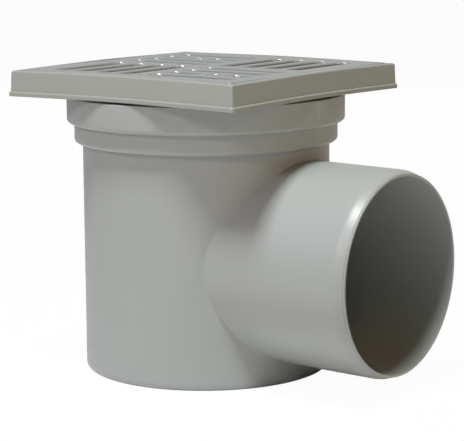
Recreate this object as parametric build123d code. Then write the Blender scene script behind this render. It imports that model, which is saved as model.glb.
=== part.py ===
from build123d import *
import math
import os

os.makedirs("parts", exist_ok=True)

# Floor gully with a side outlet. Sizes are in millimetres. The origin is on the pot's axis
# at its flat bottom, +Z is up and +X runs along the outlet towards its mouth.

# Outlet spigot, the plain end of a standard soil pipe
outlet_diameter = 110.0
outlet_wall = 3.0
outlet_ground_gap = 9.5  # from the ground up to the spigot's underside
outlet_reach = 59.7  # from the pot's wall to the mouth
outlet_end_round = 1.3
outlet_root_length = 3.0  # drafted root in front of the pot's wall; the rest is true to the pipe's size
outlet_root_draft = 0.5  # degrees
saddle_round = 1.5  # small fillet where the spigot meets the pot

# Pot shaft
pot_shoulder = 13.0  # how much the pot stands wider than its spigot, each side
pot_wall = 3.0
pot_floor = 3.0
pot_bottom_round = 3.5
pot_inner_round = 3.0

# Two-step collar on top of the pot
collar_wall = 3.0
collar_gap = 6.8  # from the spigot's top to the collar
lower_step = 4.5  # how far the lower tier stands out of the shaft
lower_tier_height = 11.0
upper_step = 4.0  # how far the upper tier stands out of the lower one
upper_tier_height = 14.9
tier_round = 2.2
rim_round = 0.6

# Square frame that stands in the collar
frame_inset = 1.3  # how far the frame's wall stands inside the collar's outside
frame_wall = 2.7
frame_wall_height = 11.3
frame_draft = 2.5  # degrees
frame_corner_round = 1.2
frame_edge_round = 0.6
frame_inner_edge_round = 0.35
frame_inner_corner_round = 1.2
lip_projection = 1.0  # how far the bottom plate stands out of the wall's foot
lip_thickness = 2.5
lip_edge_round = 0.9
rim_gap = 1.2  # open line between the collar's rim and the bottom plate

# Round neck under the frame, with a groove for its sealing ring
neck_wall = 2.2
neck_seat_gap = 0.3  # from the neck's lower end to the ledge it stands over
neck_bore_gap = 0.4  # between the groove's cheeks and the collar's bore
groove_depth = 2.1
groove_width = 3.2
cheek_thickness = 1.2
seal_fit = 0.3  # free space around the sealing ring
neck_seal_round = 0.5

# Lift-out grate
grate_gap = 1.2  # open line between the grate and the frame's wall
grate_recess = 0.3
grate_plate = 5.0
grate_corner_round = 1.6
grate_edge_round = 0.7
grate_skirt_wall = 2.3
slots_per_field = 4
slot_width = 9.6
slot_bar = 5.1  # bar between two slots
slot_rim = 10.8  # from the slots' outer ends to the grate's outside
slot_edge_round = 0.7
cross_bar = 9.0  # solid bar between the four fields of slots
split_slot = 2  # the slot of a field that holds the lifting hole, counted from the cross bar
split_slot_share = 0.59  # share of the split slot's open length on the cross bar's side of the lifting hole
lifting_hole_diameter = 9.6
lifting_hole_web = 3.9  # left on each side of the lifting hole
bar_rib_width = 2.4
bar_rib_depth = 4.0

# Trap bowl that hangs in the pot
bowl_pot_gap = 3.0
bowl_wall = 2.2
bowl_draft = 1.5  # how much narrower the bowl is at its floor
bowl_floor = 2.2
bowl_floor_round = 7.0
bowl_flange_thickness = 2.5
bowl_flange_gap = 1.3  # between the flange and the tier's bore, filled by the seal
bowl_freeboard = 12.8  # from the flange's top down to the standing water
water_seal = 50.0  # depth of water that closes the trap
bowl_passage = 10.0  # from the bowl's floor up to the bell's rim
standpipe_radius = 22.0  # inside
standpipe_wall = 2.2
standpipe_tail = 3.0  # how far it drips out below the floor

# Ring between the bowl's flange and its ledge
flange_seal_base = 1.8
flange_seal_width = 3.2
flange_seal_fit = 0.1
flange_seal_lip = 3.2  # how high its lip stands along the flange

# Odour bell over the standpipe
bell_gap = 10.8  # between the standpipe's outside and the bell's inside
bell_wall = 2.0
bell_headroom = 12.0  # from the standpipe's top to the bell's ceiling
bell_top_round = 12.0
bell_fins = 4
bell_fin_thickness = 2.0
bell_fin_gap = 0.4  # between a fin and the standpipe's outside
bell_fin_overlap = 2.2  # how far a fin reaches over the standpipe's edge
bell_fin_clear = 8.0  # from the bell's rim up to its fins
grip_length = 26.0
grip_thickness = 3.0
grip_height = 9.0
grip_bead_radius = 2.6

# Radii and heights that follow from the sizes above
outlet_radius = outlet_diameter / 2
outlet_axis_z = outlet_ground_gap + outlet_radius
pot_radius = outlet_radius + pot_shoulder
pot_bore = pot_radius - pot_wall
mouth_x = pot_radius + outlet_reach
outlet_root_x = pot_radius + outlet_root_length
outlet_root_radius = outlet_radius + outlet_root_x * math.tan(math.radians(outlet_root_draft))

lower_radius = pot_radius + lower_step
upper_radius = lower_radius + upper_step
lower_bore = lower_radius - collar_wall
upper_bore = upper_radius - collar_wall
lower_tier_z = outlet_axis_z + outlet_radius + collar_gap
upper_tier_z = lower_tier_z + lower_tier_height
collar_rim_z = upper_tier_z + upper_tier_height
lower_ledge_z = lower_tier_z + collar_wall
upper_ledge_z = upper_tier_z + collar_wall

plate_bottom_z = collar_rim_z + rim_gap
plate_top_z = plate_bottom_z + lip_thickness
frame_top_z = plate_top_z + frame_wall_height
frame_side = 2 * (upper_radius - frame_inset)
frame_foot_side = frame_side + 2 * frame_wall_height * math.tan(math.radians(frame_draft))
plate_side = frame_foot_side + 2 * lip_projection
pocket_side = frame_side - 2 * frame_wall

cheek_radius = upper_bore - neck_bore_gap
neck_radius = cheek_radius - groove_depth
neck_bore = neck_radius - neck_wall
neck_bottom_z = upper_ledge_z + neck_seat_gap
groove_bottom_z = neck_bottom_z + cheek_thickness
groove_top_z = groove_bottom_z + groove_width

grate_side = pocket_side - 2 * grate_gap
grate_top_z = frame_top_z - grate_recess
grate_plate_z = grate_top_z - grate_plate
slot_start = cross_bar / 2
slot_end = grate_side / 2 - slot_rim
slot_pitch = slot_width + slot_bar
lifting_hole_reach = lifting_hole_diameter / 2 + lifting_hole_web
split_slot_open = slot_end - slot_start - 2 * lifting_hole_reach
split_slot_inner = split_slot_share * split_slot_open
lifting_hole_place = slot_start + split_slot_inner + lifting_hole_reach

flange_bottom_z = lower_ledge_z + flange_seal_base
flange_top_z = flange_bottom_z + bowl_flange_thickness
flange_radius = lower_bore - bowl_flange_gap
bowl_radius = pot_bore - bowl_pot_gap
water_z = flange_top_z - bowl_freeboard
bell_rim_z = water_z - water_seal
bowl_floor_z = bell_rim_z - bowl_passage
standpipe_outer = standpipe_radius + standpipe_wall
bell_bore = standpipe_outer + bell_gap
bell_radius = bell_bore + bell_wall
bell_ceiling_z = water_z + bell_headroom
bell_top_z = bell_ceiling_z + bell_wall


def section(corners):
    """Face in the XZ plane through (radius, height) corners; a third value rounds that corner."""
    points = [(corner[0], corner[1]) for corner in corners]
    face = make_face(Polyline(*points, close=True))
    for corner in corners:
        if len(corner) == 3:
            at = Vector(corner[0], corner[1], 0)
            face = fillet(face.vertices().sort_by_distance(at)[0], corner[2])
    return Plane.XZ * face


def turned(corners):
    return revolve(section(corners), Axis.Z)


def bar_along_x(radius, start_x, end_x, height):
    middle = Plane(origin=(start_x, 0, height), x_dir=(0, 1, 0), z_dir=(1, 0, 0))
    return extrude(middle * Circle(radius), end_x - start_x)


def square_plate(side, corner, bottom, height, draft=0.0):
    return extrude(Pos(0, 0, bottom) * RectangleRounded(side, side, corner), height, taper=draft)


def edges_at_height(solid, height):
    return solid.edges().filter_by_position(Axis.Z, height, height)


def saddle_edges(solid):
    """Edges where the spigot's root meets the pot's wall."""
    touching = 0.05
    found = []
    for edge in solid.edges():
        at = edge.position_at(0.37)
        on_pot = abs(math.hypot(at.X, at.Y) - pot_radius) < touching
        on_spigot = math.hypot(at.Y, at.Z - outlet_axis_z) < outlet_root_radius + touching
        if on_pot and on_spigot and at.X > 0:
            found.append(edge)
    return found


def make_spigot():
    """Plain end of pipe size on a root with draft, from the pot's axis out to the mouth."""
    root = Cone(outlet_root_radius, outlet_radius, outlet_root_x,
                align=(Align.CENTER, Align.CENTER, Align.MIN))
    plain_end = bar_along_x(outlet_radius, outlet_root_x, mouth_x, outlet_axis_z)
    return Pos(0, 0, outlet_axis_z) * Rot(0, 90, 0) * root + plain_end


def make_pot():
    tier_rounds = [min(tier_round, 0.9 * step) for step in (lower_step, upper_step)]
    outside = turned([
        (0, 0),
        (pot_radius, 0, pot_bottom_round),
        (pot_radius, lower_tier_z),
        (lower_radius, lower_tier_z, tier_rounds[0]),
        (lower_radius, upper_tier_z),
        (upper_radius, upper_tier_z, tier_rounds[1]),
        (upper_radius, collar_rim_z, rim_round),
        (0, collar_rim_z),
    ])
    outside += make_spigot()
    outside = fillet(saddle_edges(outside), saddle_round)
    mouth_edge = outside.edges().filter_by(GeomType.CIRCLE).sort_by(Axis.X)[-1]
    outside = fillet(mouth_edge, outlet_end_round)
    inside = turned([
        (0, pot_floor),
        (pot_bore, pot_floor, pot_inner_round),
        (pot_bore, lower_ledge_z),
        (lower_bore, lower_ledge_z),
        (lower_bore, upper_ledge_z),
        (upper_bore, upper_ledge_z),
        (upper_bore, collar_rim_z),
        (0, collar_rim_z),
    ])
    return outside - inside - bar_along_x(outlet_radius - outlet_wall, 0, mouth_x, outlet_axis_z)


def make_neck():
    """Round neck with two cheeks that hold the sealing ring between them."""
    tube = turned([
        (neck_bore, neck_bottom_z),
        (cheek_radius, neck_bottom_z, rim_round),
        (cheek_radius, groove_bottom_z),
        (neck_radius, groove_bottom_z),
        (neck_radius, groove_top_z),
        (cheek_radius, groove_top_z),
        (cheek_radius, groove_top_z + cheek_thickness),
        (neck_radius, groove_top_z + cheek_thickness),
        (neck_radius, plate_top_z),
        (neck_bore, plate_top_z),
    ])
    return tube


def make_frame():
    plate = square_plate(plate_side, frame_corner_round + lip_projection, plate_bottom_z, lip_thickness)
    plate = fillet(edges_at_height(plate, plate_top_z) + edges_at_height(plate, plate_bottom_z),
                   lip_edge_round)
    wall = square_plate(frame_foot_side, frame_corner_round, plate_top_z, frame_wall_height, frame_draft)
    wall = fillet(edges_at_height(wall, frame_top_z), frame_edge_round)
    pocket = square_plate(pocket_side, frame_inner_corner_round, plate_top_z, frame_wall_height)
    wall -= pocket
    inner_edges = wall.faces().sort_by(Axis.Z)[-1].inner_wires().edges()
    body = plate + fillet(inner_edges, frame_inner_edge_round)
    body -= extrude(Pos(0, 0, plate_bottom_z) * Circle(neck_bore), lip_thickness)
    return body + make_neck()


def slot_outlines():
    """Slots of one grate as outlines: four fields, laid across each other like basket weave."""
    outlines = []
    for side_x, side_y in ((-1, -1), (1, 1), (-1, 1), (1, -1)):
        along_y = side_x == side_y
        for index in range(slots_per_field):
            across = slot_start + slot_width / 2 + index * slot_pitch
            spans = [(slot_start, slot_end)]
            if index == split_slot and not along_y:
                spans = [(slot_start, slot_start + split_slot_inner),
                         (lifting_hole_place + lifting_hole_reach, slot_end)]
                outlines.append(Pos(side_x * lifting_hole_place, side_y * across)
                                * Circle(lifting_hole_diameter / 2))
            for start, end in spans:
                middle = (start + end) / 2
                if along_y:
                    place = Pos(side_x * across, side_y * middle) * Rot(0, 0, 90)
                else:
                    place = Pos(side_x * middle, side_y * across)
                outlines.append(place * SlotOverall(end - start, slot_width))
    return outlines


def make_grate():
    plate = square_plate(grate_side, grate_corner_round, grate_plate_z, grate_plate)
    plate = fillet(edges_at_height(plate, grate_top_z), grate_edge_round)
    for outline in slot_outlines():
        plate -= extrude(Pos(0, 0, grate_plate_z) * outline, grate_plate)
    slot_edges = plate.faces().sort_by(Axis.Z)[-1].inner_wires().edges()
    plate = fillet(slot_edges, slot_edge_round)
    skirt_height = grate_plate_z - plate_top_z
    skirt = square_plate(grate_side, grate_corner_round, plate_top_z, skirt_height)
    inner_corner = max(grate_corner_round - grate_skirt_wall, 0.5)
    skirt -= square_plate(grate_side - 2 * grate_skirt_wall, inner_corner, plate_top_z, skirt_height)
    return plate + skirt + grate_ribs()


def grate_ribs():
    """Ribs under the cross bar and under the bars between the slots."""
    rib_z = grate_plate_z - bar_rib_depth
    inside = grate_side - 2 * grate_skirt_wall
    ribs = extrude(Pos(0, 0, rib_z) * Rectangle(inside, bar_rib_width), bar_rib_depth)
    ribs += extrude(Pos(0, 0, rib_z) * Rectangle(bar_rib_width, inside), bar_rib_depth)
    middle = (slot_start + slot_end) / 2
    length = slot_end - slot_start
    for side_x, side_y in ((-1, -1), (1, 1), (-1, 1), (1, -1)):
        for index in range(slots_per_field - 1):
            across = slot_start + slot_width / 2 + (index + 0.5) * slot_pitch
            if side_x == side_y:
                rib = Pos(side_x * across, side_y * middle) * Rectangle(bar_rib_width, length)
            else:
                rib = Pos(side_x * middle, side_y * across) * Rectangle(length, bar_rib_width)
            ribs += extrude(Pos(0, 0, rib_z) * rib, bar_rib_depth)
    return ribs


def make_neck_seal():
    inner = neck_radius + seal_fit
    outer = upper_bore - seal_fit
    low = groove_bottom_z + seal_fit
    high = groove_top_z - seal_fit
    return turned([
        (inner, low, neck_seal_round),
        (outer, low, neck_seal_round),
        (outer, high, neck_seal_round),
        (inner, high, neck_seal_round),
    ])


def make_trap_bowl():
    inner = bowl_radius - bowl_wall
    underside_z = bowl_floor_z - bowl_floor
    return turned([
        (standpipe_radius, underside_z - standpipe_tail),
        (standpipe_outer, underside_z - standpipe_tail),
        (standpipe_outer, underside_z),
        (bowl_radius - bowl_draft, underside_z, bowl_floor_round + bowl_wall),
        (bowl_radius, flange_bottom_z),
        (flange_radius, flange_bottom_z),
        (flange_radius, flange_top_z, rim_round),
        (inner, flange_top_z, rim_round),
        (inner - bowl_draft, bowl_floor_z, bowl_floor_round),
        (standpipe_outer, bowl_floor_z),
        (standpipe_outer, water_z),
        (standpipe_radius, water_z),
    ])


def make_bowl_seal():
    outer = lower_bore - flange_seal_fit
    inner = flange_radius + flange_seal_fit
    return turned([
        (flange_radius - flange_seal_width, lower_ledge_z),
        (outer, lower_ledge_z),
        (outer, flange_bottom_z + flange_seal_lip),
        (inner, flange_bottom_z + flange_seal_lip),
        (inner, flange_bottom_z),
        (flange_radius - flange_seal_width, flange_bottom_z),
    ])


def make_bell():
    shell = turned([
        (0, bell_rim_z),
        (bell_radius, bell_rim_z),
        (bell_radius, bell_top_z, bell_top_round + bell_wall),
        (0, bell_top_z),
    ])
    hollow = turned([
        (0, bell_rim_z),
        (bell_bore, bell_rim_z),
        (bell_bore, bell_ceiling_z, bell_top_round),
        (0, bell_ceiling_z),
    ])
    fin_inner = standpipe_outer + bell_fin_gap
    fin_tip = standpipe_outer - bell_fin_overlap
    fin_face = make_face(Polyline(
        (fin_inner, bell_rim_z + bell_fin_clear),
        (bell_radius, bell_rim_z + bell_fin_clear),
        (bell_radius, bell_top_z),
        (fin_tip, bell_top_z),
        (fin_tip, water_z),
        (fin_inner, water_z),
        close=True,
    ))
    fin = extrude(Plane.XZ * fin_face, bell_fin_thickness / 2, both=True)
    bell = shell - hollow
    for index in range(bell_fins):
        turn = Rot(0, 0, 360 * (index + 0.5) / bell_fins)
        bell += (turn * fin) & shell
    return bell + make_grip()


def make_grip():
    """Flat grip with a round bead along its top."""
    bead_z = bell_top_z + grip_height - grip_bead_radius
    web = Pos(0, 0, bell_ceiling_z + bell_wall / 2) * Rectangle(grip_length, grip_thickness)
    bead = bar_along_x(grip_bead_radius, -grip_length / 2, grip_length / 2, bead_z)
    bead = fillet(bead.edges().filter_by(GeomType.CIRCLE), 0.4 * grip_bead_radius)
    return extrude(web, bead_z - bell_ceiling_z - bell_wall / 2) + bead


pieces = {
    "pot": make_pot,
    "frame": make_frame,
    "grate": make_grate,
    "neck_seal": make_neck_seal,
    "trap_bowl": make_trap_bowl,
    "bowl_seal": make_bowl_seal,
    "bell": make_bell,
}

for node, make in pieces.items():
    export_step(make(), f"parts/{node}.step")
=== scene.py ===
import math

import bmesh
import bpy
import numpy as np
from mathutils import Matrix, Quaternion, Vector


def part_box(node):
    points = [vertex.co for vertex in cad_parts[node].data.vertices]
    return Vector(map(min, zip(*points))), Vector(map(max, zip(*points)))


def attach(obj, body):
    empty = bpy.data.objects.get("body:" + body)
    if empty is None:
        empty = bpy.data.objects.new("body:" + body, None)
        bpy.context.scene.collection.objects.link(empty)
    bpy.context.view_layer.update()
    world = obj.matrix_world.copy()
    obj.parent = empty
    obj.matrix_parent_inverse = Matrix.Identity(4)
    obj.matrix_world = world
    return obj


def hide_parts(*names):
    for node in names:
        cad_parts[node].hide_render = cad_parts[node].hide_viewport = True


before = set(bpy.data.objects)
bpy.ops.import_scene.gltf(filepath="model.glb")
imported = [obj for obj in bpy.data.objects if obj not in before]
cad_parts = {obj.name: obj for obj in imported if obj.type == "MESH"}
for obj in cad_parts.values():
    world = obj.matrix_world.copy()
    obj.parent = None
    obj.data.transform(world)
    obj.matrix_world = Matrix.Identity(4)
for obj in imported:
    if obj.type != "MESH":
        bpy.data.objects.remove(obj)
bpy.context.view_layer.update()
mm = 0.001  # lengths below are in millimetres and leave the mesh helpers in metres


# Paths in the (radius, height) plane

def roundedPath(corners, steps=6, closed=False):
    # corners are (radius, height) or (radius, height, rounding)
    points = []
    count = len(corners)
    for index, corner in enumerate(corners):
        here = np.array(corner[:2], float)
        if len(corner) < 3 or corner[2] <= 0:
            points.append(here)
            continue
        before = np.array(corners[(index - 1) % count][:2], float) - here
        after = np.array(corners[(index + 1) % count][:2], float) - here
        before /= np.linalg.norm(before)
        after /= np.linalg.norm(after)
        half = math.acos(np.clip(before @ after, -1, 1)) / 2
        reach = corner[2] / math.tan(half)
        inward = (before + after) / np.linalg.norm(before + after)
        middle = here + inward * corner[2] / math.sin(half)
        start = here + before * reach - middle
        end = here + after * reach - middle
        sweep = math.atan2(start[0] * end[1] - start[1] * end[0], start @ end)
        for step in range(steps + 1):
            turn = sweep * step / steps
            points.append(middle + np.array([
                start[0] * math.cos(turn) - start[1] * math.sin(turn),
                start[0] * math.sin(turn) + start[1] * math.cos(turn)]))
    if closed:
        points.append(points[0])
    return points


def circleRow(radius, height, angles):
    x, y = radius * np.cos(angles), radius * np.sin(angles)
    return np.stack([x, y, np.full(len(angles), height)], 1)


def squareRow(half, corner, height, perSide=24, perCorner=10):
    # loop round a square with rounded corners, always with the same number of points
    points = []
    straight = half - corner
    for quarter in range(4):
        turn = quarter * math.pi / 2
        edge = [(half, y) for y in np.linspace(-straight, straight, perSide, endpoint=False)]
        arc = [(straight + corner * math.cos(a), straight + corner * math.sin(a))
               for a in np.linspace(0, math.pi / 2, perCorner, endpoint=False)]
        for x, y in edge + arc:
            points.append((x * math.cos(turn) - y * math.sin(turn),
                           x * math.sin(turn) + y * math.cos(turn), height))
    return np.array(points)


# Meshes

weldDistance = 0.002  # points nearer than this become one
leastEdge = 0.001  # edges shorter than this are taken out


class Shell:
    # gathers rows of points into one closed mesh
    def __init__(self):
        self.points = []
        self.faces = []

    def rows(self, rows, around=True):
        start = sum(len(block) for block in self.points)
        width = len(rows[0])
        self.points.append(np.concatenate(rows))
        spans = width if around else width - 1
        for row in range(len(rows) - 1):
            low = start + row * width
            for column in range(spans):
                other = (column + 1) % width
                self.faces.append((low + column, low + other,
                                   low + width + other, low + width + column))

    def build(self, name):
        mesh = bpy.data.meshes.new(name)
        mesh.from_pydata((np.concatenate(self.points) * mm).tolist(), [], self.faces)
        return meshObject(name, mesh)


def meshObject(name, mesh, sharp=32):
    # welds the mesh, turns its faces outwards and shades it smooth up to the sharp angle
    work = bmesh.new()
    work.from_mesh(mesh)
    bmesh.ops.remove_doubles(work, verts=work.verts, dist=weldDistance * mm)
    bmesh.ops.dissolve_degenerate(work, edges=work.edges, dist=leastEdge * mm)
    bmesh.ops.recalc_face_normals(work, faces=work.faces)
    for face in work.faces:
        face.smooth = True
    for edge in work.edges:
        edge.smooth = edge.calc_face_angle(0) < math.radians(sharp)
    work.to_mesh(mesh)
    work.free()
    thing = bpy.data.objects.new(name, mesh)
    bpy.context.scene.collection.objects.link(thing)
    return thing


def turned(name, corners, segments=224, steps=6, closed=True):
    angles = np.linspace(0, 2 * math.pi, segments, endpoint=False)
    shell = Shell()
    shell.rows([circleRow(r, z, angles) for r, z in roundedPath(corners, steps, closed)])
    return shell.build(name)


def boxMesh(name, low, high):
    x0, y0, z0 = low
    x1, y1, z1 = high
    shell = Shell()
    corners = [(x0, y0), (x1, y0), (x1, y1), (x0, y1)]
    bottom = np.array([(x, y, z0) for x, y in corners])
    top = np.array([(x, y, z1) for x, y in corners])
    middle = np.array([((x0 + x1) / 2, (y0 + y1) / 2, 0)] * 4)
    shell.rows([middle + [0, 0, z0], bottom, top, middle + [0, 0, z1]])
    return shell.build(name)


def evaluatedMesh(thing):
    bpy.context.view_layer.update()
    return bpy.data.meshes.new_from_object(
        thing.evaluated_get(bpy.context.evaluated_depsgraph_get()))


def joined(base, tools):
    # one moulding from the base and the pieces that grow out of it
    for tool in tools:
        change = base.modifiers.new("join", "BOOLEAN")
        change.operation = "UNION"
        change.solver = "EXACT"
        change.object = tool
        mesh = evaluatedMesh(base)
        base.modifiers.clear()
        base.data = mesh
        bpy.data.objects.remove(tool)
    name = base.name
    mesh = base.data
    bpy.data.objects.remove(base)
    return meshObject(name, mesh)


# Pot with its collar and spigot

pot = {
    "radius": 68.0, "wall": 3.0, "floor": 3.0, "bottomRound": 3.5, "innerRound": 3.0,
    "bottomRings": (20, 40, 58),
    "collarZ": 126.3, "upperTierZ": 137.3, "rimZ": 152.2,
    "lowerRadius": 72.5, "upperRadius": 76.5, "collarWall": 3.0,
    "tierRound": 2.2, "rimRound": 0.6, "footRound": 0.35,
    "spigotRadius": 55.0, "spigotWall": 3.0, "spigotZ": 64.5, "mouthX": 127.7,
    "fall": 0.8,  # how much lower the spigot's mouth lies than its root
    "saddleRound": 1.5, "boreSaddleRound": 0.01,
    "leadIn": 7.4, "leadDrop": 1.5, "leadEase": 0.6,  # the spigot narrows over its last stretch
    "lip": 1.1, "lipRound": 0.3, "lipInset": 0.1, "lipTaper": 0.1,
    "groove": 0.3, "grooveFrom": 0.15, "grooveTo": 0.45, "grooveEnd": 0.55, "grooveRound": 0.05,
    "seamWidth": 0.25, "seamHeight": 0.18, "seamFade": 12,
    "fieldAngle": math.radians(63), "fieldColumns": 84, "restColumns": 110, "fieldRows": 60,
    "patchRings": 14, "blendSteps": 6, "tubeRows": 15, "leadRows": 14,
}


def shaftColumns():
    # angles round the shaft: the field that holds the spigot first, then the rest,
    # with the seam's columns in both
    half = pot["fieldAngle"]
    seam = pot["seamWidth"] / pot["radius"]
    field = list(np.linspace(-half, half, pot["fieldColumns"] + 1)) + [-seam, seam]
    rest = list(np.linspace(half, 2 * math.pi - half, pot["restColumns"] + 1)[1:-1])
    rest += [math.pi - seam, math.pi + seam]
    return np.array(sorted(field)), np.array(sorted(rest))


def fieldBoundary(field, low, high):
    # points (angle, height) round the field's edge, anticlockwise, starting at its lower left
    heights = np.linspace(low, high, pot["fieldRows"] + 1)
    edge = [(a, low) for a in field]
    edge += [(field[-1], z) for z in heights[1:]]
    edge += [(a, high) for a in field[::-1][1:]]
    edge += [(field[0], z) for z in heights[::-1][1:-1]]
    return np.array(edge), heights


def saddlePoint(shaftRadius, tubeRadius, turn):
    # angle and height on the shaft where the tube's wall meets it
    angle = math.asin(tubeRadius * math.cos(turn) / shaftRadius)
    return angle, pot["spigotZ"] + tubeRadius * math.sin(turn)


def onShaft(radius, place):
    return np.array([radius * math.cos(place[0]), radius * math.sin(place[0]), place[1]])


def shaftPatch(shell, shaftRadius, tubeRadius, edge, turns, rounding):
    # the field's surface from the spigot's opening outwards
    # returns the row where the spigot's own wall starts
    rings = pot["patchRings"]
    blendSteps = pot["blendSteps"]
    grid = [[] for _ in range(rings + 1)]
    blend = [[] for _ in range(blendSteps + 1)]
    for place, turn in zip(edge, turns):
        saddle = np.array(saddlePoint(shaftRadius, tubeRadius, turn))
        run = (place - saddle) * [shaftRadius, 1]
        length = np.linalg.norm(run)
        along = run / length
        tangent = np.array([
            -math.sin(saddle[0]) * along[0], math.cos(saddle[0]) * along[0], along[1]])
        opening = math.acos(np.clip(tangent[0], -1, 1))
        reach = rounding / math.tan(opening / 2)
        first = saddle + (place - saddle) * reach / length
        for ring in range(rings + 1):
            grid[ring].append(onShaft(shaftRadius, first + (place - first) * ring / rings))
        corner = onShaft(shaftRadius, saddle)
        onTube = corner + [reach, 0, 0]
        for step in range(blendSteps + 1):
            f = step / blendSteps
            blend[step].append(
                onTube * (1 - f) ** 2 + corner * 2 * f * (1 - f) + grid[0][-1] * f ** 2)
    shell.rows([np.array(row) for row in blend])
    shell.rows([np.array(row) for row in grid])
    return np.array(blend[0])


def straightShaft(shell, radius, heights, rest, field):
    # the part of the shaft beside the field
    angles = np.concatenate([[field[-1]], rest, [field[0] + 2 * math.pi]])
    shell.rows([circleRow(radius, z, angles) for z in heights], around=False)


def nearZero(values):
    return np.abs(values) < 1e-4


def raiseSeam(rows, angles):
    # lifts the columns on the mould's parting line
    onSeam = nearZero(np.sin(angles))
    for row in rows:
        reach = np.hypot(row[:, 0], row[:, 1])
        grow = np.where(onSeam, (reach + pot["seamHeight"]) / reach, 1)
        row[:, 0] *= grow
        row[:, 1] *= grow


def mouthPath(boreRadius):
    # (x, radius) along the spigot's end: lead-in, groove, lip, and back into the bore
    mouth = pot["mouthX"]
    start = mouth - pot["lip"]
    lead, ease = pot["leadIn"] - pot["lip"], pot["leadEase"]
    slope = pot["leadDrop"] / (1 - ease / 2)
    path = []
    for f in np.linspace(0, 1, pot["leadRows"]):
        bend = f * f / (2 * ease) if f < ease else f - ease / 2
        path.append((start - lead * (1 - f), pot["spigotRadius"] - slope * bend))
    tip = pot["spigotRadius"] - pot["leadDrop"]
    lipRadius = tip - pot["lipInset"]
    path += roundedPath([
        path[-1],
        (start + pot["grooveFrom"], tip - pot["groove"]),
        (start + pot["grooveTo"], tip - pot["groove"]),
        (start + pot["grooveEnd"], lipRadius, pot["grooveRound"]),
        (mouth, lipRadius - pot["lipTaper"], pot["lipRound"]),
        (mouth, boreRadius, pot["lipRound"]),
        (0, boreRadius)], 4)[1:-1]
    return path


def tubeRows(tubeStart, boreStart, turns, boreRadius):
    # the spigot's wall from the saddle out to the mouth and back along the bore
    path = mouthPath(boreRadius)
    seam = nearZero(np.cos(turns))
    shares = np.linspace(0, 1, pot["tubeRows"])
    tube = []
    for f in shares:
        row = tubeStart.copy()
        row[:, 0] += (path[0][0] - tubeStart[:, 0]) * f
        fade = min(1, pot["seamFade"] * f, pot["seamFade"] * (1 - f))
        row[seam, 2] += np.sign(np.sin(turns[seam])) * pot["seamHeight"] * fade
        tube.append(row)
    for x, r in path[1:]:
        tube.append(np.stack([np.full(len(turns), x), r * np.cos(turns),
                              pot["spigotZ"] + r * np.sin(turns)], 1))
    last = tube[-1]
    for f in shares[1:]:
        tube.append(last + (boreStart - last) * f)
    for row in tube:
        out = (row[:, 0] - pot["radius"]) / (pot["mouthX"] - pot["radius"])
        row[:, 2] -= pot["fall"] * np.clip(out, 0, 1)
    return tube


def makePot():
    shell = Shell()
    field, rest = shaftColumns()
    angles = np.concatenate([field, rest])
    inner = pot["radius"] - pot["wall"]
    lowerBore = pot["lowerRadius"] - pot["collarWall"]
    upperBore = pot["upperRadius"] - pot["collarWall"]
    lowerLedge = pot["collarZ"] + pot["collarWall"]
    upperLedge = pot["upperTierZ"] + pot["collarWall"]
    foot = pot["footRound"]

    bottom = roundedPath([
        (0, 0), (pot["radius"], 0, pot["bottomRound"]), (pot["radius"], pot["collarZ"])])[:-1]
    bottom[1:1] = [np.array([r, 0.0]) for r in pot["bottomRings"]]
    shell.rows([circleRow(r, z, angles) for r, z in bottom])
    collar = roundedPath([
        (pot["radius"], pot["collarZ"]),
        (pot["lowerRadius"], pot["collarZ"], pot["tierRound"]),
        (pot["lowerRadius"], pot["upperTierZ"]),
        (pot["upperRadius"], pot["upperTierZ"], pot["tierRound"]),
        (pot["upperRadius"], pot["rimZ"], pot["rimRound"]),
        (upperBore, pot["rimZ"], foot),
        (upperBore, upperLedge, foot),
        (lowerBore, upperLedge, foot),
        (lowerBore, lowerLedge, foot),
        (inner, lowerLedge),
    ])
    rimStart = next(i for i, p in enumerate(collar) if p[1] > pot["rimZ"] - weldDistance)
    rows = [circleRow(r, z, angles) for r, z in collar]
    raiseSeam(rows[1:rimStart], angles)
    shell.rows(rows)

    low, high = pot["bottomRound"], pot["collarZ"]
    edge, heights = fieldBoundary(field, low, high)
    turns = np.arctan2((edge[:, 1] - pot["spigotZ"]) / (high - pot["spigotZ"]),
                       edge[:, 0] / field[-1])
    tubeStart = shaftPatch(
        shell, pot["radius"], pot["spigotRadius"], edge, turns, pot["saddleRound"])
    straightShaft(shell, pot["radius"], heights, rest, field)

    low, high = pot["floor"] + pot["innerRound"], lowerLedge
    edge, heights = fieldBoundary(field, low, high)
    boreRadius = pot["spigotRadius"] - pot["spigotWall"]
    boreStart = shaftPatch(shell, inner, boreRadius, edge, turns, pot["boreSaddleRound"])
    straightShaft(shell, inner, heights, rest, field)
    floor = roundedPath([
        (inner, lowerLedge), (inner, pot["floor"], pot["innerRound"]), (0, pot["floor"])])[1:]
    shell.rows([circleRow(r, z, angles) for r, z in floor])

    shell.rows(tubeRows(tubeStart, boreStart, turns, boreRadius))
    return shell.build("gully_pot")


# Square frame with its neck

square = {
    "plateLow": 153.4, "plateHigh": 155.9, "top": 167.2,
    "plateHalf": 76.693, "footHalf": 75.693, "topHalf": 75.2, "pocketHalf": 72.5,
    "lipLowRound": 0.35, "lipHighRound": 0.75, "edgeRound": 1.1, "innerEdgeRound": 0.4,
    "cornerRound": 1.2, "leastCorner": 0.8, "footRound": 0.2,
    "neckBore": 68.8, "neckRadius": 71.0, "cheekRadius": 73.1, "neckLow": 140.6,
    "cheek": 1.2, "groove": 3.2,
    "boreRound": 0.5, "neckRound": 0.4, "cheekRound": 0.15, "shoulderRound": 0.3,
    # how far the corners hang below the middle of each side
    "bow": 0.9, "bowPower": 1.5, "bowFrom": 148.0,
}


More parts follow.
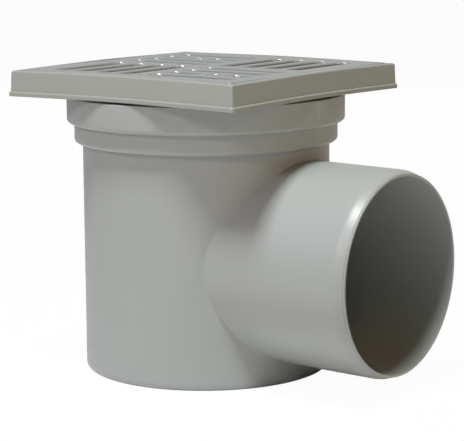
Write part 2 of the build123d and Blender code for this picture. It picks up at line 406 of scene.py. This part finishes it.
def makeFrame():
    shell = Shell()
    s = square
    grooveLow = s["neckLow"] + s["cheek"]
    grooveHigh = grooveLow + s["groove"]
    outer = roundedPath([
        (s["neckRadius"], s["plateLow"]),
        (s["plateHalf"], s["plateLow"], s["lipLowRound"]),
        (s["plateHalf"], s["plateHigh"], s["lipHighRound"]),
        (s["footHalf"], s["plateHigh"], s["footRound"]),
        (s["topHalf"], s["top"], s["edgeRound"]),
        (s["pocketHalf"], s["top"], s["innerEdgeRound"]),
        (s["pocketHalf"], s["plateHigh"], s["footRound"]),
        (s["neckBore"], s["plateHigh"]),
    ])[1:-1]
    rows = []
    for half, z in outer:
        corner = max(s["cornerRound"] + half - s["footHalf"], s["leastCorner"])
        rows.append(squareRow(half, corner, z))
    angles = np.arctan2(rows[0][:, 1], rows[0][:, 0])
    neck = roundedPath([
        (s["pocketHalf"], s["plateHigh"]),
        (s["neckBore"], s["plateHigh"], s["boreRound"]),
        (s["neckBore"], s["neckLow"], s["neckRound"]),
        (s["cheekRadius"], s["neckLow"], s["neckRound"]),
        (s["cheekRadius"], grooveLow, s["cheekRound"]),
        (s["neckRadius"], grooveLow),
        (s["neckRadius"], grooveHigh),
        (s["cheekRadius"], grooveHigh, s["cheekRound"]),
        (s["cheekRadius"], grooveHigh + s["cheek"], s["shoulderRound"]),
        (s["neckRadius"], grooveHigh + s["cheek"]),
        (s["neckRadius"], s["plateLow"], s["boreRound"]),
        (s["plateHalf"], s["plateLow"]),
    ])[1:-1]
    rows += [circleRow(r, z, angles) for r, z in neck]
    rows.append(rows[0])
    shell.rows(rows)
    return bowed(shell.build("gully_frame"))


def bowed(piece):
    # the moulding's slight warp: its corners hang a little below the middles of its sides
    s = square
    for vertex in piece.data.vertices:
        x, y, z = vertex.co / mm
        inward = min(abs(x), abs(y)) / s["plateHalf"]
        part = min(max((z - s["bowFrom"]) / (s["plateLow"] - s["bowFrom"]), 0), 1)
        vertex.co.z -= s["bow"] * inward ** s["bowPower"] * part * mm
    return piece


# Lift-out grate

grate = {
    "half": 71.3, "cornerRound": 1.6, "low": 162.2, "high": 167.0, "edgeRound": 1.2,
    "edgeSteps": 7,
    "skirtLow": 155.9, "skirtWall": 2.3, "skirtInset": 0.02, "skirtInto": 1.2, "skirtCorner": 0.6,
    "slots": 4, "pitch": 14.7, "width": 9.9, "length": 56.0, "crossBar": 9.0, "firstSlot": 4.8,
    "splitSlot": 2, "holePlace": 35.97, "holeRadius": 4.8, "holeWeb": 3.9,
    "ribWidth": 2.4, "ribDepth": 4.0, "ribInto": 0.4, "ribEndInto": 0.5,
}
fields = ((-1, -1), (1, 1), (-1, 1), (1, -1))  # where the signs agree, slots run along Y


def slotLoop(length, width, steps=26):
    # outline of a slot with round ends, along X
    radius = width / 2
    reach = length / 2 - radius
    right = [(reach + radius * math.cos(a), radius * math.sin(a))
             for a in np.linspace(-math.pi / 2, math.pi / 2, steps)]
    return right + [(-x, -y) for x, y in right]


def holeLoop(x, y, steps=40):
    radius = grate["holeRadius"]
    return [(x + radius * math.cos(a), y + radius * math.sin(a))
            for a in np.linspace(0, 2 * math.pi, steps, endpoint=False)]


def slotLoops():
    start = grate["crossBar"] / 2
    end = start + grate["length"]
    loops = []
    for sideX, sideY in fields:
        alongY = sideX == sideY
        for index in range(grate["slots"]):
            across = start + grate["firstSlot"] + index * grate["pitch"]
            spans = [(start, end)]
            if index == grate["splitSlot"] and not alongY:
                reach = grate["holeRadius"] + grate["holeWeb"]
                spans = [(start, grate["holePlace"] - reach), (grate["holePlace"] + reach, end)]
                loops.append(holeLoop(sideX * grate["holePlace"], sideY * across))
            for low, high in spans:
                middle = (low + high) / 2
                outline = slotLoop(high - low, grate["width"])
                if alongY:
                    loops.append([(sideX * across - y, sideY * middle + x) for x, y in outline])
                else:
                    loops.append([(sideX * middle + x, sideY * across + y) for x, y in outline])
    return loops


def gratePlate():
    # flat plate with its slots, every edge rounded
    g = grate
    curve = bpy.data.curves.new("grate_outline", "CURVE")
    curve.dimensions = "2D"
    curve.fill_mode = "BOTH"
    thickness = g["high"] - g["low"]
    curve.extrude = (thickness / 2 - g["edgeRound"]) * mm
    curve.bevel_depth = g["edgeRound"] * mm
    curve.bevel_resolution = g["edgeSteps"]
    curve.offset = -g["edgeRound"] * mm
    outline = squareRow(g["half"], g["cornerRound"], 0, perSide=16, perCorner=8)[:, :2]
    for loop in [outline.tolist()] + slotLoops():
        spline = curve.splines.new("POLY")
        spline.points.add(len(loop) - 1)
        for point, (x, y) in zip(spline.points, loop):
            point.co = (x * mm, y * mm, 0, 1)
        spline.use_cyclic_u = True
    holder = bpy.data.objects.new("grate_outline", curve)
    bpy.context.scene.collection.objects.link(holder)
    mesh = evaluatedMesh(holder)
    bpy.data.objects.remove(holder)
    for vertex in mesh.vertices:
        vertex.co.z += (g["low"] + thickness / 2) * mm
    mesh.name = "gully_grate"
    return meshObject("gully_grate", mesh)


def makeGrate():
    g = grate
    plate = gratePlate()
    inside = g["half"] - g["skirtWall"]
    skirtTop = g["low"] + g["skirtInto"]
    skirt = Shell()
    rows = [squareRow(g["half"] - g["skirtInset"], g["cornerRound"], z)
            for z in (g["skirtLow"], skirtTop)]
    rows += [squareRow(inside, g["skirtCorner"], z) for z in (skirtTop, g["skirtLow"])]
    skirt.rows(rows + [rows[0]])
    tools = [skirt.build("skirt")]

    # ribs under the cross bars, from skirt to skirt, and under the bars between the slots
    half = g["ribWidth"] / 2
    reach = inside + g["ribEndInto"]
    start = g["crossBar"] / 2
    end = start + g["length"]
    spans = [((-reach, reach), (-half, half)), ((-half, half), (-reach, reach))]
    for sideX, sideY in fields:
        for index in range(g["slots"] - 1):
            across = start + g["firstSlot"] + (index + 0.5) * g["pitch"]
            spanX, spanY = (across - half, across + half), (start, end)
            if sideX != sideY:
                spanX, spanY = spanY, spanX
            spans.append((sorted(sideX * x for x in spanX), sorted(sideY * y for y in spanY)))
    low, high = g["low"] - g["ribDepth"], g["low"] + g["ribInto"]
    for xs, ys in spans:
        tools.append(boxMesh("rib", (xs[0], ys[0], low), (xs[1], ys[1], high)))
    return joined(plate, tools)


# Trap bowl with its standpipe

bowl = {
    "radius": 62.0, "wall": 2.2, "draft": 1.5,
    "floorZ": 60.8, "floor": 2.2, "floorRound": 7.0,
    "flangeLow": 131.1, "flangeHigh": 133.6, "flangeRadius": 68.2,
    "flangeFootRound": 0.3, "edgeRound": 0.6,
    "pipeRadius": 22.0, "pipeOuter": 24.2, "pipeTop": 120.8, "pipeRound": 0.5,
    "tail": 3.0, "tailRound": 0.3, "tailFootRound": 0.8,
}


def makeBowl():
    b = bowl
    under = b["floorZ"] - b["floor"]
    inner = b["radius"] - b["wall"]
    return turned("trap_bowl_shell", [
        (b["pipeRadius"], under - b["tail"], b["tailRound"]),
        (b["pipeOuter"], under - b["tail"], b["tailRound"]),
        (b["pipeOuter"], under, b["tailFootRound"]),
        (b["radius"] - b["draft"], under, b["floorRound"] + b["wall"]),
        (b["radius"], b["flangeLow"]),
        (b["flangeRadius"], b["flangeLow"], b["flangeFootRound"]),
        (b["flangeRadius"], b["flangeHigh"], b["edgeRound"]),
        (inner, b["flangeHigh"], b["edgeRound"]),
        (inner - b["draft"], b["floorZ"], b["floorRound"]),
        (b["pipeOuter"], b["floorZ"], b["tailFootRound"]),
        (b["pipeOuter"], b["pipeTop"], b["pipeRound"]),
        (b["pipeRadius"], b["pipeTop"], b["pipeRound"]),
    ])


# Odour bell with its fins and grip

bell = {
    "radius": 37.0, "bore": 35.0, "rim": 70.8, "ceiling": 132.8, "top": 134.8,
    "domeRound": 12.0, "rimRound": 0.6,
    "fins": 4, "finThickness": 2.0, "finInner": 24.6, "finTip": 22.0, "finLow": 78.8,
    "finInto": 0.6, "finOverlap": 1.0, "finShoulder": 5.2,
    "gripLength": 26.0, "gripThickness": 3.0, "gripHeight": 9.0, "gripInto": 1.0,
    "bead": 2.6, "beadRound": 1.0,
}


def bellFins():
    # each fin hangs beside the standpipe, and its upper part rests on the pipe's edge
    b = bell
    half = b["finThickness"] / 2
    wall = (b["bore"] + b["radius"]) / 2
    for index in range(b["fins"]):
        turn = 2 * math.pi * (index + 0.5) / b["fins"]
        low = boxMesh("fin", (b["finInner"], -half, b["finLow"]),
                      (wall, half, bowl["pipeTop"] + b["finOverlap"]))
        high = boxMesh("fin", (b["finTip"], -half, bowl["pipeTop"]),
                       (wall - b["finShoulder"], half, b["ceiling"] + b["finInto"]))
        for fin in (low, high):
            for vertex in fin.data.vertices:
                x, y = vertex.co.x, vertex.co.y
                vertex.co.x = x * math.cos(turn) - y * math.sin(turn)
                vertex.co.y = x * math.sin(turn) + y * math.cos(turn)
            yield fin


def bellGrip():
    # a thin web with a round bead along its top
    b = bell
    end = b["gripLength"] / 2
    beadZ = b["top"] + b["gripHeight"] - b["bead"]
    web = boxMesh("web", (-end, -b["gripThickness"] / 2, b["top"] - b["gripInto"]),
                  (end, b["gripThickness"] / 2, beadZ))
    angles = np.linspace(0, 2 * math.pi, 32, endpoint=False)
    profile = roundedPath([(-end, 0), (-end, b["bead"], b["beadRound"]),
                           (end, b["bead"], b["beadRound"]), (end, 0)])
    bead = Shell()
    bead.rows([np.stack([np.full(len(angles), x), r * np.cos(angles),
                         beadZ + r * np.sin(angles)], 1) for x, r in profile])
    return [web, bead.build("bead")]


def makeBell():
    b = bell
    cup = turned("odour_bell", [
        (0, b["top"]),
        (b["radius"], b["top"], b["domeRound"] + b["radius"] - b["bore"]),
        (b["radius"], b["rim"], b["rimRound"]),
        (b["bore"], b["rim"], b["rimRound"]),
        (b["bore"], b["ceiling"], b["domeRound"]),
        (0, b["ceiling"]),
    ], segments=160, steps=12, closed=False)
    return joined(cup, list(bellFins()) + bellGrip())


# Sealing rings

neckRing = {"inner": 71.3, "outer": 73.2, "round": 0.8, "inset": 0.01}


def makeNeckSeal():
    n = neckRing
    low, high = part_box("neck_seal")
    bottom, top = low.z / mm + n["inset"], high.z / mm - n["inset"]
    places = [(n["inner"], bottom), (n["outer"], bottom), (n["outer"], top), (n["inner"], top)]
    return turned("neck_ring", [(r, z, n["round"]) for r, z in places])


bowlRing = {
    "inner": 65.0, "outer": 69.4, "step": 68.3, "low": 129.3, "shelf": 131.1, "top": 134.3,
    "round": 0.3, "topRound": 0.35,
}


def makeBowlSeal():
    r = bowlRing
    return turned("bowl_ring", [
        (r["inner"], r["low"], r["round"]),
        (r["outer"], r["low"], r["round"]),
        (r["outer"], r["top"], r["topRound"]),
        (r["step"], r["top"], r["topRound"]),
        (r["step"], r["shelf"]),
        (r["inner"], r["shelf"], r["round"]),
    ])


# Materials

class Value:
    # a shader socket with arithmetic: an expression on it adds its own Math nodes
    def __init__(self, graph, socket):
        self.graph = graph
        self.socket = socket

    def combine(self, operation, first, second):
        return self.graph.add("ShaderNodeMath", {"operation": operation}, {0: first, 1: second})

    def __add__(self, other):
        return self.combine("ADD", self, other)

    def __radd__(self, other):
        return self.combine("ADD", other, self)

    def __sub__(self, other):
        return self.combine("SUBTRACT", self, other)

    def __rsub__(self, other):
        return self.combine("SUBTRACT", other, self)

    def __mul__(self, other):
        return self.combine("MULTIPLY", self, other)

    def __rmul__(self, other):
        return self.combine("MULTIPLY", other, self)


class Graph:
    # the node tree of a new material or world
    def __init__(self, owner):
        self.owner = owner
        owner.use_nodes = True
        self.tree = owner.node_tree
        self.tree.nodes.clear()

    def add(self, kind, settings=None, inputs=None, output=0):
        node = self.tree.nodes.new(kind)
        for key, setting in (settings or {}).items():
            setattr(node, key, setting)
        for key, item in (inputs or {}).items():
            if isinstance(item, Value):
                self.tree.links.new(item.socket, node.inputs[key])
            else:
                node.inputs[key].default_value = item
        return Value(self, node.outputs[output]) if len(node.outputs) else None

    def mixColor(self, factor, first, second):
        # sockets 6, 7 and 2 are the Mix node's two colours and its colour result
        inputs = {0: factor, 6: first, 7: second}
        return self.add("ShaderNodeMix", {"data_type": "RGBA"}, inputs, output=2)

    def noise(self, place, scale):
        inputs = {"Vector": place, "Scale": scale, "Detail": 2.0, "Roughness": 0.5}
        return self.add("ShaderNodeTexNoise", {}, inputs)

    def mixShader(self, factor, first, second):
        return self.add("ShaderNodeMixShader", {}, {0: factor, 1: first, 2: second})

    def ray(self, kind):
        return self.add("ShaderNodeLightPath", {}, {}, output=kind)

    def finish(self, shader, output="ShaderNodeOutputMaterial"):
        self.add(output, {}, {"Surface": shader})
        return self.owner


plastics = {
    "pot": {"color": (0.392, 0.403, 0.392), "shade": (0.372, 0.382, 0.370),
            "rough": 0.40, "grain": 0.08, "ior": 1.53, "specular": 0.5},
    "frame": {"color": (0.345, 0.351, 0.322), "shade": (0.329, 0.334, 0.305),
              "rough": 0.34, "grain": 0.08, "ior": 1.53, "specular": 0.5},
    "grate": {"color": (0.310, 0.318, 0.316), "shade": (0.290, 0.298, 0.295),
              "rough": 0.15, "grain": 0.015, "ior": 1.7, "specular": 1.0},
    "inner": {"color": (0.400, 0.410, 0.380), "shade": (0.350, 0.356, 0.330),
              "rough": 0.34, "grain": 0.08, "ior": 1.53, "specular": 0.5},
    "rubber": {"color": (0.016, 0.016, 0.017), "shade": (0.030, 0.029, 0.028),
               "rough": 0.62, "grain": 0.30, "ior": 1.53, "specular": 0.5},
}
marks = {
    "cloudScale": 12.0, "cloudShare": 0.7, "cloudRough": 0.06,
    "streakScale": (40.0, 40.0, 7.0), "streakShare": 0.3,
    "grainScale": 1500.0, "grainDepth": 0.0002,
}


def plastic(name):
    # moulded plastic: faint cloudy flow marks and fine die grain
    look = plastics[name]
    g = Graph(bpy.data.materials.new("moulded_" + name))
    place = g.add("ShaderNodeTexCoord", {}, {}, output="Object")
    clouds = g.noise(place, marks["cloudScale"])
    stretched = g.add("ShaderNodeMapping", {}, {"Vector": place, "Scale": marks["streakScale"]})
    streaks = g.noise(stretched, 1.0)
    grain = g.noise(place, marks["grainScale"])
    color = g.mixColor(clouds * marks["cloudShare"] + streaks * marks["streakShare"],
                       (*look["color"], 1), (*look["shade"], 1))
    rough = look["rough"] + (clouds - 0.5) * marks["cloudRough"]  # 0.5 is the clouds' middle
    bump = g.add("ShaderNodeBump", {}, {
        "Strength": look["grain"], "Distance": marks["grainDepth"], "Height": grain})
    shader = g.add("ShaderNodeBsdfPrincipled", {}, {
        "Base Color": color, "Roughness": rough, "Normal": bump, "IOR": look["ior"],
        "Specular IOR Level": look["specular"]})
    return g.finish(shader)


# Pieces on their bodies

def dress(piece, material, body, node):
    piece.data.materials.clear()
    piece.data.materials.append(material)
    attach(piece, body)
    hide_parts(node)
    print("made", piece.name, "with", len(piece.data.polygons), "faces")


innerPlastic = plastic("inner")
rubber = plastic("rubber")
dress(makePot(), plastic("pot"), "pot", "pot")
dress(makeFrame(), plastic("frame"), "frame", "frame")
dress(makeGrate(), plastic("grate"), "frame", "grate")
dress(makeBowl(), innerPlastic, "pot", "trap_bowl")
dress(makeBell(), innerPlastic, "pot", "bell")
dress(makeNeckSeal(), rubber, "seal_ring", "neck_seal")
dress(makeBowlSeal(), rubber, "pot", "bowl_seal")


# Floor, light and camera

studio = {
    "floorSize": 24.0, "floorColor": (0.86, 0.86, 0.85),
    "aim": (0, 0, 0.1), "distance": 1.6,  # where the lamps look, and from how far
    "cameraWhite": 0.97, "mirrorWhite": 0.41,
}
lamps = {
    # azimuth from the front and elevation in degrees, size in metres, power in watts
    "high": {"azimuth": 13, "elevation": 69.5, "size": 0.3, "power": 25.9,
             "color": (0.94, 1.0, 1.0), "shine": True},
    "front": {"azimuth": -5, "elevation": 34, "size": 0.2, "power": 5.7,
              "color": (1.0, 0.87, 0.91), "shine": True},
    "side": {"azimuth": 105, "elevation": 26, "size": 0.5, "power": 3.7,
             "color": (1.0, 0.67, 0.27), "shine": True},
    "back": {"azimuth": 222, "elevation": 24, "size": 0.9, "power": 4.5,
             "color": (0.96, 0.98, 1.0), "shine": False},
}
view = {
    "azimuth": 37.184, "elevation": 9.438, "roll": -0.431,  # degrees
    "aim": (0.01296, 0.00592, 0.08123), "distance": 1.09854,  # metres
    "sensor": 36.0, "focal": 153.678,
}
white = (1, 1, 1, 1)


def backward(azimuth, elevation):
    # unit vector from the object towards a lamp or the camera
    a, e = math.radians(azimuth), math.radians(elevation)
    return Vector((math.sin(a) * math.cos(e), -math.cos(a) * math.cos(e), math.sin(e)))


def floorMaterial():
    # plain pale floor that shows white to the camera and keeps the object's shadow
    g = Graph(bpy.data.materials.new("pale_floor"))
    seen = g.ray("Is Camera Ray") * studio["cameraWhite"]
    plain = g.add("ShaderNodeBsdfDiffuse", {}, {"Color": (*studio["floorColor"], 1)})
    glow = g.add("ShaderNodeEmission", {}, {"Color": white, "Strength": 1.0})
    return g.finish(g.mixShader(seen, plain, glow))


def makeFloor():
    half = studio["floorSize"] / 2
    mesh = bpy.data.meshes.new("floor")
    mesh.from_pydata([(-half, -half, 0), (half, -half, 0), (half, half, 0), (-half, half, 0)],
                     [], [(0, 1, 2, 3)])
    floor = bpy.data.objects.new("floor", mesh)
    bpy.context.scene.collection.objects.link(floor)
    mesh.materials.append(floorMaterial())


def makeWorld():
    # white where the camera sees it, a softer white in reflections, and no light of its own
    g = Graph(bpy.data.worlds.new("studio"))
    mirrored = g.ray("Is Glossy Ray") + g.ray("Is Transmission Ray")
    seen = g.ray("Is Camera Ray") + mirrored * studio["mirrorWhite"]
    dark = g.add("ShaderNodeBackground", {}, {"Color": white, "Strength": 0.0})
    bright = g.add("ShaderNodeBackground", {}, {"Color": white, "Strength": 1.0})
    bpy.context.scene.world = g.finish(g.mixShader(seen, dark, bright), "ShaderNodeOutputWorld")


def makeLamps():
    aim = Vector(studio["aim"])
    for name, lamp in lamps.items():
        data = bpy.data.lights.new(name, "AREA")
        data.size = lamp["size"]
        data.energy = lamp["power"]
        data.color = lamp["color"]
        thing = bpy.data.objects.new(name, data)
        thing.visible_glossy = lamp["shine"]
        bpy.context.scene.collection.objects.link(thing)
        back = backward(lamp["azimuth"], lamp["elevation"])
        thing.location = aim + back * studio["distance"]
        thing.rotation_euler = (-back).to_track_quat("-Z", "Y").to_euler()


def makeCamera():
    data = bpy.data.cameras.new("camera")
    data.sensor_width = view["sensor"]
    data.lens = view["focal"]
    camera = bpy.data.objects.new("camera", data)
    bpy.context.scene.collection.objects.link(camera)
    back = backward(view["azimuth"], view["elevation"])
    camera.location = Vector(view["aim"]) + back * view["distance"]
    level = (-back).to_track_quat("-Z", "Y")
    camera.rotation_mode = "QUATERNION"
    camera.rotation_quaternion = level @ Quaternion((0, 0, 1), math.radians(view["roll"]))
    bpy.context.scene.camera = camera


makeFloor()
makeWorld()
makeLamps()
makeCamera()
bpy.context.scene.view_settings.view_transform = "Standard"
print("floor, light and camera placed")
